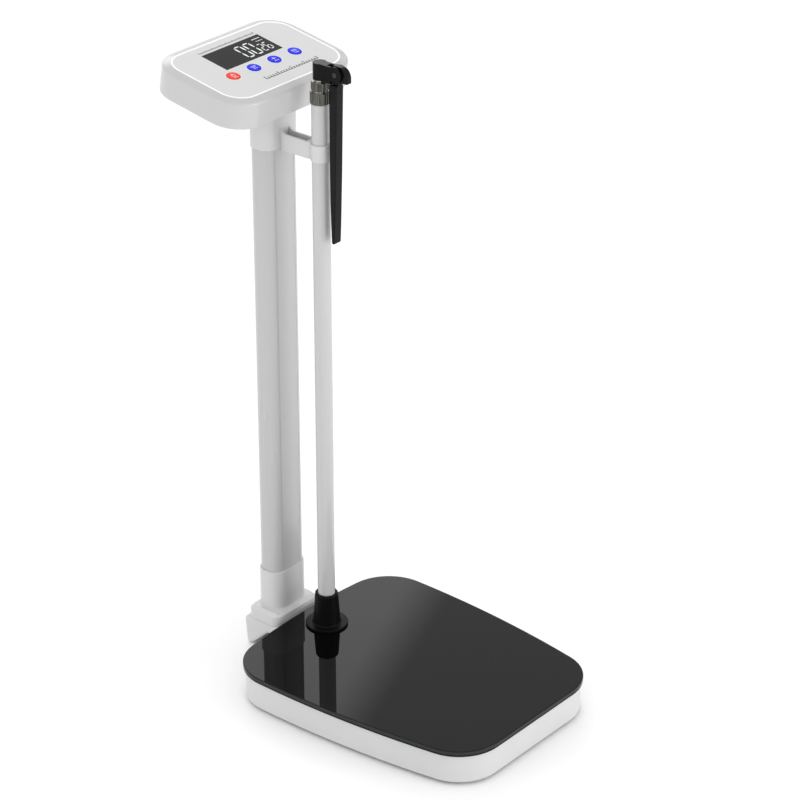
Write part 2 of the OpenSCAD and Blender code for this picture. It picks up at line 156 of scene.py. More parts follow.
panel("front_panel", (0.6, -2.4, 0.55), (0.0, -0.1, 0.05), (1.0, 0.8), 17)
panel("left_panel", (-2.4, 0.9, 1.0), (0.0, 0.0, 0.3), (0.8, 1.6), 7)
scene.view_settings.view_transform = "Standard"
print("two soft panels, a white world, a bright back card and a grey card in it")

# %% [markdown]
# ## Shared effects
# Every finish here shows three small effects: its tone drifts a little from place to
# place, its gloss is uneven where hands and cloths have been, and its surface has a fine
# grain. Each effect is one node group, so that a material only has to say how much of it
# there is. The groups read Object coordinates, which stay with a piece as it moves.

# %% Node groups
def new_group(name, inputs, outputs):
    tree = bpy.data.node_groups.new(name, "ShaderNodeTree")
    for label, kind, value in inputs:
        socket = tree.interface.new_socket(name=label, in_out="INPUT", socket_type=kind)
        if value is not None:
            socket.default_value = value
    for label, kind in outputs:
        tree.interface.new_socket(name=label, in_out="OUTPUT", socket_type=kind)
    return tree, tree.nodes.new("NodeGroupInput"), tree.nodes.new("NodeGroupOutput")


def noise(tree, vector, scale, detail=1.0):
    node = tree.nodes.new("ShaderNodeTexNoise")
    node.inputs["Detail"].default_value = detail
    tree.links.new(vector, node.inputs["Vector"])
    tree.links.new(scale, node.inputs["Scale"])
    return node.outputs["Fac"]


# Noise seldom leaves this part of its range
NOISE_LOW, NOISE_HIGH = 0.15, 0.85


def spread(tree, value, low, high):
    node = tree.nodes.new("ShaderNodeMapRange")
    node.inputs["From Min"].default_value = NOISE_LOW
    node.inputs["From Max"].default_value = NOISE_HIGH
    tree.links.new(value, node.inputs["Value"])
    for label, end in (("To Min", low), ("To Max", high)):
        if isinstance(end, float):
            node.inputs[label].default_value = end
        else:
            tree.links.new(end, node.inputs[label])
    return node.outputs["Result"]


FLOAT, COLOUR, VECTOR = "NodeSocketFloat", "NodeSocketColor", "NodeSocketVector"

tone, got, out = new_group("tone_drift", [
    ("Vector", VECTOR, None), ("Light", COLOUR, (1, 1, 1, 1)), ("Dark", COLOUR, (0, 0, 0, 1)),
    ("Scale", FLOAT, 20.0)], [("Colour", COLOUR)])
blend = tone.nodes.new("ShaderNodeMix")
blend.data_type = "RGBA"
share = spread(tone, noise(tone, got.outputs["Vector"], got.outputs["Scale"]), 0.0, 1.0)
tone.links.new(share, blend.inputs["Factor"])
tone.links.new(got.outputs["Light"], blend.inputs["A"])
tone.links.new(got.outputs["Dark"], blend.inputs["B"])
tone.links.new(blend.outputs["Result"], out.inputs["Colour"])

gloss, got, out = new_group("uneven_gloss", [
    ("Vector", VECTOR, None), ("Smooth", FLOAT, 0.3), ("Rough", FLOAT, 0.4),
    ("Scale", FLOAT, 30.0)], [("Roughness", FLOAT)])
gloss.links.new(
    spread(gloss, noise(gloss, got.outputs["Vector"], got.outputs["Scale"], 2.0),
           got.outputs["Smooth"], got.outputs["Rough"]), out.inputs["Roughness"])

grain, got, out = new_group("fine_grain", [
    ("Vector", VECTOR, None), ("Scale", FLOAT, 900.0), ("Waves", FLOAT, 6.0),
    ("Share", FLOAT, 0.3)], [("Height", FLOAT)])
mixed = grain.nodes.new("ShaderNodeMix")
grain.links.new(got.outputs["Share"], mixed.inputs["Factor"])
grain.links.new(noise(grain, got.outputs["Vector"], got.outputs["Scale"], 2.0),
                mixed.inputs["A"])
grain.links.new(noise(grain, got.outputs["Vector"], got.outputs["Waves"], 1.0),
                mixed.inputs["B"])
grain.links.new(mixed.outputs["Result"], out.inputs["Height"])
print("groups:", tone.name, gloss.name, grain.name)


# %% [markdown]
# ## Finishes
# One function lays the three effects into a Principled shader. What is the same all over
# a surface, such as its metal share or its coat, is set on the shader's own sockets; only
# what changes over the surface is linked. The stretch turns round noise into the long
# lines of a brushed or drawn metal, and on the white column into faint upright streaks
# of tone that paint in streaky reflections.

# %% Finish maker
def finish(name, light, dark, smooth, rough, metal=0.0, coat=0.0, drift=18.0, wear=35.0,
           grain_scale=260.0, grain_depth=0.000008, share=0.1, stretch=(1, 1, 1),
           specular=0.5):
    made = bpy.data.materials.new(name)
    made.use_nodes = True
    tree = made.node_tree
    shader = tree.nodes["Principled BSDF"]
    shader.inputs["Metallic"].default_value = metal
    shader.inputs["Coat Weight"].default_value = coat
    shader.inputs["Coat Roughness"].default_value = 0.06
    shader.inputs["Specular IOR Level"].default_value = specular
    where = tree.nodes.new("ShaderNodeTexCoord")
    turn = tree.nodes.new("ShaderNodeMapping")
    turn.inputs["Scale"].default_value = stretch
    tree.links.new(where.outputs["Object"], turn.inputs["Vector"])
    placed = {}
    for effect, values in ((tone, {"Light": (*light, 1.0), "Dark": (*dark, 1.0), "Scale": drift}),
                           (gloss, {"Smooth": smooth, "Rough": rough, "Scale": wear}),
                           (grain, {"Scale": grain_scale, "Share": share})):
        node = tree.nodes.new("ShaderNodeGroup")
        node.node_tree = effect
        tree.links.new(turn.outputs["Vector"], node.inputs["Vector"])
        for label, value in values.items():
            node.inputs[label].default_value = value
        placed[effect.name] = node
    bump = tree.nodes.new("ShaderNodeBump")
    bump.inputs["Strength"].default_value = 1.0
    bump.inputs["Distance"].default_value = grain_depth
    tree.links.new(placed["fine_grain"].outputs["Height"], bump.inputs["Height"])
    tree.links.new(placed["tone_drift"].outputs["Colour"], shader.inputs["Base Color"])
    tree.links.new(placed["uneven_gloss"].outputs["Roughness"], shader.inputs["Roughness"])
    tree.links.new(bump.outputs["Normal"], shader.inputs["Normal"])
    return made


def grey(value):
    return (value, value, value * 1.005)


# %% Plastic, rubber and paint
shell_white = finish("shell_white", grey(0.505), grey(0.495), 0.24, 0.28, coat=0.3,
                     grain_scale=300.0, grain_depth=0.000004)
# Painted shade: the column and the tube get a darker white than the base plastic, which stands in for
# the shade that falls on them. The column's faint random tone is also stretched into upright streaks,
# which paint in streaky reflections.
column_white_shaded = finish("column_paint_shaded", grey(0.46), grey(0.45), 0.26, 0.3, coat=0.2,
                     grain_scale=240.0, grain_depth=0.000003, stretch=(1, 1, 0.06))
base_white = finish("base_plastic", grey(0.58), grey(0.56), 0.3, 0.4, grain_depth=0.000005)
bead_white = finish("bead_white", grey(0.94), grey(0.92), 0.28, 0.34, coat=0.2)
tube_white_shaded = finish("tube_paint_shaded", grey(0.50), grey(0.485), 0.2, 0.26, coat=0.35,
                    grain_depth=0.000003)
soft_black = finish("boot_rubber", grey(0.002), grey(0.004), 0.36, 0.46, specular=0.08,
                    grain_depth=0.00001)
foot_rubber = finish("foot_rubber", grey(0.02), grey(0.035), 0.7, 0.85, grain_depth=0.0001)
arm_black = finish("arm_black", grey(0.003), grey(0.005), 0.24, 0.32, specular=0.12,
                   grain_depth=0.000005)
dark_plastic = finish("dark_plastic", grey(0.12), grey(0.09), 0.5, 0.6, grain_depth=0.00006)
film_grey = finish("face_film", grey(0.65), grey(0.635), 0.34, 0.42, drift=9.0,
                   grain_scale=420.0, grain_depth=0.000004, specular=0.2)
ink_dark = finish("printed_ink", grey(0.03), grey(0.05), 0.4, 0.5)
ink_light = finish("key_marks", (0.80, 0.82, 0.90), (0.72, 0.74, 0.84), 0.4, 0.5)
segment_white = finish("lit_segments", (0.90, 0.93, 0.92), (0.84, 0.88, 0.87), 0.35, 0.45)
key_red = finish("key_red", (0.86, 0.042, 0.006), (0.80, 0.034, 0.005), 0.34, 0.42, specular=0.12)
key_blue = finish("key_blue", (0.004, 0.014, 0.84), (0.003, 0.010, 0.74), 0.34, 0.42, specular=0.12)

# %% Metal
zinc = finish("zinc_plate", grey(0.60), grey(0.48), 0.3, 0.45, metal=1.0, drift=60.0,
              stretch=(1, 6, 1))
saddle_steel = finish("saddle_steel", grey(0.55), grey(0.45), 0.35, 0.5, metal=1.0,
                      drift=80.0, stretch=(8, 1, 1))
screw_steel = finish("screw_steel", grey(0.72), grey(0.60), 0.18, 0.3, metal=1.0)
screw_black = finish("blackened_screw", grey(0.10), grey(0.06), 0.16, 0.26, metal=1.0)
collar_metal = finish("collar_metal", (0.15, 0.144, 0.128), (0.10, 0.096, 0.086), 0.12, 0.2,
                      metal=1.0, drift=120.0)
dome_steel = finish("dome_steel", grey(0.7), grey(0.6), 0.25, 0.35, metal=1.0)
print(len(bpy.data.materials), "finishes so far")

# %% [markdown]
# ## Modelling helpers
# All modelling is in millimetres, and each piece is scaled to metres once, when it is
# finished, so its object stays unmoved and unscaled. A copy of a CAD node comes as loose
# triangles: it is merged and its flat faces are joined again, and then a bevel can run
# along its real edges. Round parts are a profile that is spun about the upright axis.

# %% Modelling helpers
def copy_of(node):
    made = bmesh.new()
    made.from_mesh(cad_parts[node].data)
    bmesh.ops.scale(made, vec=(1000, 1000, 1000), verts=made.verts)
    bmesh.ops.remove_doubles(made, verts=made.verts, dist=0.002)
    bmesh.ops.dissolve_limit(made, angle_limit=math.radians(0.3), use_dissolve_boundaries=False,
                             verts=made.verts, edges=made.edges, delimit=set())
    return made


def middle(edge):
    return (edge.verts[0].co + edge.verts[1].co) / 2


def soften(made, width, steps, where=None, sharper_than=30):
    chosen = [e for e in made.edges if len(e.link_faces) == 2
              and e.calc_face_angle(0) > math.radians(sharper_than)
              and (where is None or where(e))]
    bmesh.ops.bevel(made, geom=chosen, offset=width, offset_type="OFFSET", segments=steps,
                    profile=0.5, affect="EDGES", clamp_overlap=True, material=-1)


def lathe(profile, steps):
    made = bmesh.new()
    points = [made.verts.new((r, 0.0, z)) for r, z in profile]
    lines = [made.edges.new(pair) for pair in zip(points, points[1:] + points[:1])]
    bmesh.ops.spin(made, geom=points + lines, cent=(0, 0, 0), axis=(0, 0, 1), angle=math.tau,
                   steps=steps, use_merge=True)
    bmesh.ops.remove_doubles(made, verts=made.verts, dist=0.001)
    return made


def round_face(made, width, length, radius, steps, centre, z):
    corners = bmesh.ops.create_grid(made, x_segments=1, y_segments=1, size=0.5)["verts"]
    bmesh.ops.scale(made, vec=(width, length, 1), verts=corners)
    bmesh.ops.translate(made, vec=(centre[0], centre[1], z), verts=corners)
    bmesh.ops.bevel(made, geom=corners, offset=radius, offset_type="OFFSET", segments=steps,
                    profile=0.5, affect="VERTICES", clamp_overlap=True, material=-1)
    made.faces.ensure_lookup_table()
    return made.faces[-1]


def raise_face(made, face, height):
    grown = bmesh.ops.extrude_face_region(made, geom=[face], use_keep_orig=True)["geom"]
    bmesh.ops.translate(made, vec=(0, 0, height),
                        verts=[g for g in grown if isinstance(g, bmesh.types.BMVert)])
    return next(g for g in grown if isinstance(g, bmesh.types.BMFace))


def block(made, low, high):
    corners = bmesh.ops.create_cube(made, size=1.0)["verts"]
    low, high = Vector(low), Vector(high)
    bmesh.ops.scale(made, vec=high - low, verts=corners)
    bmesh.ops.translate(made, vec=(low + high) / 2, verts=corners)


def move(made, x, y):
    bmesh.ops.translate(made, vec=(x, y, 0.0), verts=made.verts)


SHARP = 32


def add_piece(made, name, body, material, stands_for=(), turn=True, sharp=SHARP):
    bmesh.ops.scale(made, vec=(0.001, 0.001, 0.001), verts=made.verts)
    if turn:
        bmesh.ops.recalc_face_normals(made, faces=made.faces)
    mesh = bpy.data.meshes.new(name)
    made.to_mesh(mesh)
    made.free()
    mesh.shade_smooth()
    mesh.set_sharp_from_angle(angle=math.radians(sharp))
    mesh.materials.append(material)
    piece = bpy.data.objects.new(name, mesh)
    scene.collection.objects.link(piece)
    even = piece.modifiers.new("even_shading", "WEIGHTED_NORMAL")
    even.weight, even.keep_sharp = 100, True
    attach(piece, body)
    if stands_for:
        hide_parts(*stands_for)
    print(f"{name}: {len(mesh.polygons)} faces")
    return piece


def carve(piece, cutter_shape):
    bmesh.ops.scale(cutter_shape, vec=(0.001, 0.001, 0.001), verts=cutter_shape.verts)
    bmesh.ops.recalc_face_normals(cutter_shape, faces=cutter_shape.faces)
    mesh = bpy.data.meshes.new("cutter")
    cutter_shape.to_mesh(mesh)
    cutter_shape.free()
    cutter = bpy.data.objects.new("cutter", mesh)
    scene.collection.objects.link(cutter)
    piece.modifiers.clear()
    cut = piece.modifiers.new("cut", "BOOLEAN")
    cut.operation, cut.solver, cut.object = "DIFFERENCE", "EXACT", cutter
    bpy.context.view_layer.update()
    seen = piece.evaluated_get(bpy.context.evaluated_depsgraph_get())
    piece.modifiers.clear()
    result = bpy.data.meshes.new_from_object(seen)
    result.name = piece.name
    piece.data = result
    result.shade_smooth()
    result.set_sharp_from_angle(angle=math.radians(SHARP))
    bpy.data.objects.remove(cutter)
    piece.modifiers.new("even_shading", "WEIGHTED_NORMAL").keep_sharp = True


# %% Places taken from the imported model
def centre_of(node):
    low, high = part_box(node)
    return (low + high) / 2 * 1000


def ends_of(node):
    low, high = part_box(node)
    return low.z * 1000, high.z * 1000


def radius_of(node):
    low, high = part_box(node)
    return (high.x - low.x) / 2 * 1000


ROD_Y = centre_of("outer_tube").y
COLUMN_Y = centre_of("column").y
GLASS_LOW, GLASS_TOP = ends_of("glass_plate")
FACE_Y, FACE_Z, FACE_TILT = 155.674, 735.0, 9.8
FACE = (Matrix.Translation((0.0, FACE_Y, FACE_Z))
        @ Matrix.Rotation(math.radians(FACE_TILT), 4, "X"))
print("rod at y", round(ROD_Y, 2), "column at y", round(COLUMN_Y, 2), "mm")

# %% [markdown]
# ## The platform
# The base is a moulded tray and the platform is a 7 mm sheet of toughened glass, painted
# black on its back, so it reads as a deep black mirror with a slightly lighter ground
# edge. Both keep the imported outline: a copy of each is merged, and a bevel of a few steps
# runs along the edges, which is what catches the light on a real moulding.

# %% Base tray
base = copy_of("base_shell")
bottom, top = ends_of("base_shell")
soften(base, 0.7, 3, lambda e: middle(e).z > top - 0.1)
soften(base, 1.2, 4, lambda e: middle(e).z < bottom + 0.1)
add_piece(base, "base_tray", "scale", base_white, ["base_shell"], turn=False)

# %% Glass finish
# The lowest 2.6 mm of the ground edge stays black, which draws a thin dark line along the foot of the
# glass.
EDGE_BLACK_DEPTH = 2.6
GROUND_EDGE = (0.030, 0.034, 0.033, 1.0)

glass_black = finish("black_glass", grey(0.0024), grey(0.0018), 0.02, 0.035, drift=5.0,
                     wear=8.0, grain_scale=60.0, grain_depth=0.000004, share=0.7,
                     specular=0.1)
tree = glass_black.node_tree
shader = tree.nodes["Principled BSDF"]
shader.inputs["IOR"].default_value = 1.52
facing = tree.nodes.new("ShaderNodeNewGeometry")
parts = tree.nodes.new("ShaderNodeSeparateXYZ")
edge_share = tree.nodes.new("ShaderNodeMapRange")
edge_share.inputs["From Min"].default_value = 0.9
edge_share.inputs["From Max"].default_value = 0.3
edge_mix = tree.nodes.new("ShaderNodeMix")
edge_mix.data_type = "RGBA"
edge_mix.inputs["B"].default_value = GROUND_EDGE
tree.links.new(facing.outputs["True Normal"], parts.inputs["Vector"])
tree.links.new(parts.outputs["Z"], edge_share.inputs["Value"])
where = tree.nodes.new("ShaderNodeTexCoord")
height = tree.nodes.new("ShaderNodeSeparateXYZ")
clear_part = tree.nodes.new("ShaderNodeMath")
clear_part.operation = "GREATER_THAN"
clear_part.inputs[1].default_value = (GLASS_LOW + EDGE_BLACK_DEPTH) / 1000
both = tree.nodes.new("ShaderNodeMath")
both.operation = "MULTIPLY"
tree.links.new(where.outputs["Object"], height.inputs["Vector"])
tree.links.new(height.outputs["Z"], clear_part.inputs[0])
tree.links.new(edge_share.outputs["Result"], both.inputs[0])
tree.links.new(clear_part.outputs["Value"], both.inputs[1])
tree.links.new(both.outputs["Value"], edge_mix.inputs["Factor"])
tree.links.new(shader.inputs["Base Color"].links[0].from_socket, edge_mix.inputs["A"])
tree.links.new(edge_mix.outputs["Result"], shader.inputs["Base Color"])
print("glass with a lighter ground edge")

# %% Glass platform
HOLE_REACH = 13

plate = copy_of("glass_plate")
soften(plate, 1.1, 4, lambda e: abs(middle(e).x) > HOLE_REACH
       or abs(middle(e).y - ROD_Y) > HOLE_REACH)
add_piece(plate, "glass_platform", "scale", glass_black, ["glass_plate"],
          turn=False)

# %% [markdown]
# ## Feet and underside
# The feet are rubber pads with a few sunk rings, pressed into plastic cups. A ring
# profile that is spun is the quickest way to a foot that looks right from below. The pan
# under the base is a plain zinc plated sheet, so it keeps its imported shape.

# %% Feet
FEET = ["front_left", "front_right", "back_left", "back_right"]
for corner in FEET:
    place = centre_of(f"foot_pad_{corner}")
    pad = lathe([(0, 0.6), (4, 0.6), (4.6, 0), (9, 0), (9.6, 0.6), (11.4, 0.6), (12, 0),
                 (15.8, 0), (16.6, 0.4), (18.4, 2.2), (19, 3), (19, 5), (0, 5)], 64)
    move(pad, place.x, place.y)
    add_piece(pad, f"rubber_foot_{corner}", "scale", foot_rubber,
              [f"foot_pad_{corner}"])
    cup = lathe([(0, 5), (20.6, 5), (21.4, 5.3), (22, 6), (22, 12.2), (21.2, 13), (0, 13)], 72)
    move(cup, place.x, place.y)
    add_piece(cup, f"foot_holder_{corner}", "scale", dark_plastic,
              [f"foot_cup_{corner}"])

# %% [markdown]
# ## Neck, plinth and column
# The neck carries the column out behind the glass. Its shoulders are round, so the
# bevel there is wide. The plinth has a chamfered top, and the socket that grips the
# column ends in a fine lip. The column itself is an extrusion with two fine grooves on
# its front and two on its back.

# %% Neck
SHOULDER_FRONT = COLUMN_Y - 22

neck = copy_of("neck_block")
half_neck = radius_of("neck_block")
soften(neck, 3.4, 5, lambda e: abs(abs(middle(e).x) - half_neck) < 0.2
       and middle(e).y > SHOULDER_FRONT)
add_piece(neck, "neck", "scale", base_white, ["neck_block"], turn=False)

# %% Socket
PLINTH_TOP, PLINTH_RIM = 54.0, 8.0


def near_socket(edge, reach_x, reach_y):
    return abs(middle(edge).x) < reach_x and abs(middle(edge).y - COLUMN_Y) < reach_y


socket = copy_of("column_socket")
lip = ends_of("column_socket")[1]
soften(socket, 2.6, 5, lambda e: abs(middle(e).z - PLINTH_TOP) < 0.5
       and near_socket(e, 28.4, 18), 20)
soften(socket, 0.5, 3, lambda e: middle(e).z > lip - 0.1, 20)
soften(socket, 0.9, 3, lambda e: PLINTH_TOP - PLINTH_RIM < middle(e).z < PLINTH_TOP + 0.5
       and not near_socket(e, 32, 20), 18)
add_piece(socket, "column_foot", "scale", base_white, ["column_socket"],
          turn=False)

# %% Column and its top collar
post = copy_of("column")
add_piece(post, "column_post", "scale", column_white_shaded, ["column"], turn=False,
          sharp=25)
cap = copy_of("top_collar")
soften(cap, 0.5, 3)
add_piece(cap, "column_collar", "scale", base_white, ["top_collar"],
          turn=False)

# %% Steadying arm
steady = copy_of("rod_arm")
soften(steady, 0.55, 3)
add_piece(steady, "steadying_arm", "scale", base_white, ["rod_arm"],
          turn=False)

# %% [markdown]
# ## Height rod
# The fixed tube is painted white and stands in a rubber boot with a flange that lies on
# the glass. Two ribbed metal collars guide the moving tubes. All are turned parts, so
# each is a profile spun round the rod, and the ribs come from pulling every other pair
# of lines on the rim inward.

# %% Fixed tube and boot
TUBE_WALL = 1.1

low, high = ends_of("outer_tube")
radius = radius_of("outer_tube")
fixed = lathe([(radius, low), (radius, high - 0.3), (radius - 0.3, high),
               (radius - 0.8, high), (radius - TUBE_WALL, high - 0.3),
               (radius - TUBE_WALL, low)], 96)
move(fixed, 0, ROD_Y)
add_piece(fixed, "fixed_tube", "scale", tube_white_shaded, ["outer_tube"])
BOOT_PROFILE = [(10.25, 0.0), (24.9, 0.0), (25.3, 0.4), (25.3, 2.3), (25.1, 2.8), (24.6, 3.0),
                (18.0, 3.0), (16.9, 3.4), (16.3, 4.4), (13.75, 40.8), (13.4, 42.3),
                (12.7, 43.2), (11.9, 43.4), (11.1, 43.0), (10.6, 42.2), (10.25, 41.0)]
boot = lathe([(reach, GLASS_TOP + lift) for reach, lift in BOOT_PROFILE], 96)
move(boot, 0, ROD_Y)
add_piece(boot, "rod_base_boot", "scale", soft_black, ["rod_boot"], sharp=50)


# %% Ribbed collars
RIBS, LINES_PER_RIB, RIB_DEPTH = 34, 4, 0.42
GRIP_GAP, SLIDE_GAP = 0.02, 0.05


def ribbed_collar(name, node, body, gripped, sliding):
    low, high = ends_of(node)
    radius = radius_of(node)
    wide_bore = radius_of(gripped) + GRIP_GAP
    narrow_bore = radius_of(sliding) + SLIDE_GAP
    step = ends_of(gripped)[1]
    made = lathe([(wide_bore, low), (radius - 0.7, low), (radius - 0.15, low + 0.5),
                  (radius, low + 1.1), (radius, high - 1.1), (radius - 0.15, high - 0.5),
                  (radius - 0.7, high), (narrow_bore, high), (narrow_bore, step),
                  (wide_bore, step)], RIBS * LINES_PER_RIB)
    for v in made.verts:
        reach = math.hypot(v.co.x, v.co.y)
        turned = math.atan2(v.co.y, v.co.x) / math.tau
        line = round(turned * RIBS * LINES_PER_RIB) % LINES_PER_RIB
        if reach > radius - 0.2 and line in (0, 1):
            v.co.x *= (radius - RIB_DEPTH) / reach
            v.co.y *= (radius - RIB_DEPTH) / reach
    move(made, 0, ROD_Y)
    add_piece(made, name, body, collar_metal, [node], sharp=28)


ribbed_collar("lower_ribbed_collar", "lower_collar", "scale", "outer_tube", "middle_tube")
ribbed_collar("upper_ribbed_collar", "upper_collar", "middle_section", "middle_tube",
              "inner_tube")

# %% [markdown]
# The two moving tubes carry a height scale. Its marks are printed lines, so they belong
# to the finish: a division of the height into even steps gives the lines, a second one
# makes every tenth line longer, and the angle round the tube keeps them to the side that
# the reader sees.

# %% Graduated tube finish
MARK_STEP, LONG_EVERY, LINE_SHARE, LONG_SHARE = 0.005, 10, 0.16, 0.018
FACES_READER, SHORT_MARK, LONG_MARK = 0.35, 0.28, 0.55


def graduated(name, start_z):
    made = finish(name, grey(0.78), grey(0.68), 0.2, 0.3, metal=1.0, drift=40.0,
                  stretch=(3, 3, 0.2))
    tree = made.node_tree
    shader = tree.nodes["Principled BSDF"]

    def maths(kind, first, second=None):
        node = tree.nodes.new("ShaderNodeMath")
        node.operation = kind
        for slot, value in zip(node.inputs, (first, second)):
            if isinstance(value, (int, float)):
                slot.default_value = value
            elif value is not None:
                tree.links.new(value, slot)
        return node.outputs["Value"]

    where = tree.nodes.new("ShaderNodeTexCoord")
    axes = tree.nodes.new("ShaderNodeSeparateXYZ")
    tree.links.new(where.outputs["Object"], axes.inputs["Vector"])
    height = maths("SUBTRACT", axes.outputs["Z"], start_z)
    side = maths("SUBTRACT", axes.outputs["Y"], ROD_Y / 1000)
    round_by = maths("ARCTAN2", axes.outputs["X"], maths("MULTIPLY", side, -1.0))
    near = maths("ABSOLUTE", maths("ADD", round_by, FACES_READER))
    steps = maths("FRACT", maths("DIVIDE", height, MARK_STEP))
    tens = maths("FRACT", maths("DIVIDE", height, MARK_STEP * LONG_EVERY))
    short = maths("MULTIPLY", maths("LESS_THAN", steps, LINE_SHARE),
                  maths("LESS_THAN", near, SHORT_MARK))
    long = maths("MULTIPLY", maths("LESS_THAN", tens, LONG_SHARE),
                 maths("LESS_THAN", near, LONG_MARK))
    lines = maths("MAXIMUM", short, long)
    ink = tree.nodes.new("ShaderNodeMix")
    ink.data_type = "RGBA"
    ink.inputs["B"].default_value = (0.02, 0.02, 0.022, 1.0)
    tree.links.new(lines, ink.inputs["Factor"])
    tree.links.new(shader.inputs["Base Color"].links[0].from_socket, ink.inputs["A"])
    tree.links.new(ink.outputs["Result"], shader.inputs["Base Color"])
    return made


# %% Moving tubes
for name, node, body in (("middle_rod", "middle_tube", "middle_section"),
                         ("inner_rod", "inner_tube", "inner_section")):
    low, high = ends_of(node)
    radius = radius_of(node)
    rod = lathe([(radius, low + 0.2), (radius, high - 0.2), (radius - 0.2, high),
                 (radius - TUBE_WALL, high), (radius - TUBE_WALL, low), (radius - 0.2, low)], 72)
    move(rod, 0, ROD_Y)
    add_piece(rod, name, body, graduated(f"{name}_finish", low / 1000), [node])

# %% [markdown]
# ## Rod head and measuring arm
# The rod head is a black moulding with a round cap behind and two cheeks in front, and
# the measuring arm folds between them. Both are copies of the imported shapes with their
# edges rounded, because their outlines are already the real ones.

# %% Rod head
bracket = copy_of("rod_bracket")
soften(bracket, 0.45, 3)
add_piece(bracket, "rod_head_bracket", "rod_head", arm_black,
          ["rod_bracket"], turn=False)
screw = copy_of("pivot_screw")
soften(screw, 0.12, 2)
add_piece(screw, "pivot_screw_head", "rod_head", screw_black, ["pivot_screw"],
          turn=False)

# %% Measuring arm
BLADE_SIDE, TONGUE_SIDE = 5.6, 3.0

paddle = copy_of("measuring_arm")
soften(paddle, 0.9, 4, lambda e: abs(middle(e).x) > BLADE_SIDE)
soften(paddle, 0.6, 3, lambda e: abs(abs(middle(e).x) - TONGUE_SIDE) < 0.1)
add_piece(paddle, "folding_arm", "arm", arm_black, ["measuring_arm"],
          turn=False)

# %% [markdown]
# ## Display head
# The head is one rounded shell. It starts as a flat face with round corners, which is
# raised to a block; its top edge is rounded, a rim climbs gently toward the face, and a
# shallow recess holds the printed film. The inside is hollow from below, and cutters
# open the display window, the four key holes and the power inlet.

# %% Head shell
HEAD_W, HEAD_L, HEAD_R, HEAD_MID, HEAD_T = 203.0, 136.0, 37.0, 12.0, 33.6
RIM_DROP, RECESS = 1.7, 1.2
RIM_STEPS = ((2.0, 0.55), (2.2, 0.6), (1.8, 0.45), (0.5, 0.1), (0.25, -0.1),
             (0.15, -RECESS + 0.1))
HEAD_WALL, HOLLOW = 1.6, 26.2
WINDOW_W, WINDOW_L, WINDOW_Y, WINDOW_LEDGE = 91.6, 39.6, 33.2, 2.0
KEYS = [-50.25, -16.75, 16.75, 50.25]
KEY_HOLE_R, INLET_R, INLET_DROP, HOLE_SIDES = 5.2, 4.55, 20, 40


def step_in(made, face, steps):
    for by, lift in steps:
        bmesh.ops.inset_individual(made, faces=[face], thickness=by, depth=lift,
                                   use_even_offset=True)


def round_rim(made, face, width, steps):
    bmesh.ops.bevel(made, geom=list(face.edges), offset=width, offset_type="OFFSET",
                    segments=steps, profile=0.5, affect="EDGES", clamp_overlap=True,
                    material=-1)


def facing_up(face):
    return face.normal.z * face.calc_area()


head = bmesh.new()
under = round_face(head, HEAD_W, HEAD_L, HEAD_R, 16, (0, HEAD_MID), -HEAD_T)
round_rim(head, raise_face(head, under, HEAD_T - RIM_DROP), 3.4, 6)
bmesh.ops.recalc_face_normals(head, faces=head.faces)
step_in(head, max(head.faces, key=facing_up), RIM_STEPS)
round_rim(head, min(head.faces, key=facing_up), 1.0, 3)
step_in(head, min(head.faces, key=facing_up), ((HEAD_WALL, 0.0), (0.02, -HOLLOW)))
bmesh.ops.transform(head, matrix=FACE, verts=head.verts)
shell = add_piece(head, "display_head", "scale", shell_white, ["head_shell"])

# %% Openings in the head
def drill(made, radius, depth):
    return bmesh.ops.create_cone(made, cap_ends=True, segments=HOLE_SIDES, radius1=radius,
                                 radius2=radius, depth=depth)["verts"]


cutters = bmesh.new()
half_w, half_l = WINDOW_W / 2 - WINDOW_LEDGE, WINDOW_L / 2 - WINDOW_LEDGE
block(cutters, (-half_w, WINDOW_Y - half_l, -9), (half_w, WINDOW_Y + half_l, 3))
for x in KEYS:
    bmesh.ops.translate(cutters, vec=(x, 0, -3), verts=drill(cutters, KEY_HOLE_R, 12))
inlet = drill(cutters, INLET_R, 10)
bmesh.ops.rotate(cutters, cent=(0, 0, 0), matrix=Matrix.Rotation(math.pi / 2, 3, "X"),
                 verts=inlet)
bmesh.ops.translate(cutters, vec=(0, HEAD_MID + HEAD_L / 2, -INLET_DROP), verts=inlet)
bmesh.ops.transform(cutters, matrix=FACE, verts=cutters.verts)
carve(shell, cutters)
print("display_head after cutting:", len(shell.data.polygons), "faces")

# %% [markdown]
# A white bead runs round the film, between it and the rim, and is the brightest line on
# the head. It is a narrow frame: the same rounded outline, stepped up, across and down
# again, with what is left in the middle taken out.

# %% Bead round the face
BEAD_OUT = 9.3
BEAD_STEPS = ((0.2, 1.0), (0.4, 0.4), (1.8, 0.0), (0.4, -0.4), (0.2, -1.0))

bead = bmesh.new()
film_side = round_face(bead, HEAD_W - 2 * BEAD_OUT, HEAD_L - 2 * BEAD_OUT, HEAD_R - BEAD_OUT,
                       14, (0, HEAD_MID), -RECESS)
step_in(bead, film_side, BEAD_STEPS)
bmesh.ops.delete(bead, geom=[film_side], context="FACES_ONLY")
rims = [e for e in bead.edges if len(e.link_faces) == 1]
bmesh.ops.bridge_loops(bead, edges=rims)
bmesh.ops.transform(bead, matrix=FACE, verts=bead.verts)
add_piece(bead, "face_bead", "scale", bead_white)

# %% [markdown]
# ## Keys
# Each key is a round cap on a stem above its switch. The marks on the caps are plain
# signs in light ink: a switch sign on the red key, and bars or a cross on the blue ones.
# They ride with their key, and a fine pale ring is printed on the film round each.

# %% Keys and their marks
KEY_TOP = 0.30
PRINT_LOW, PRINT_HIGH = -0.42, -0.36
SIGN_LOW, SIGN_HIGH = KEY_TOP - 0.05, KEY_TOP + 0.04
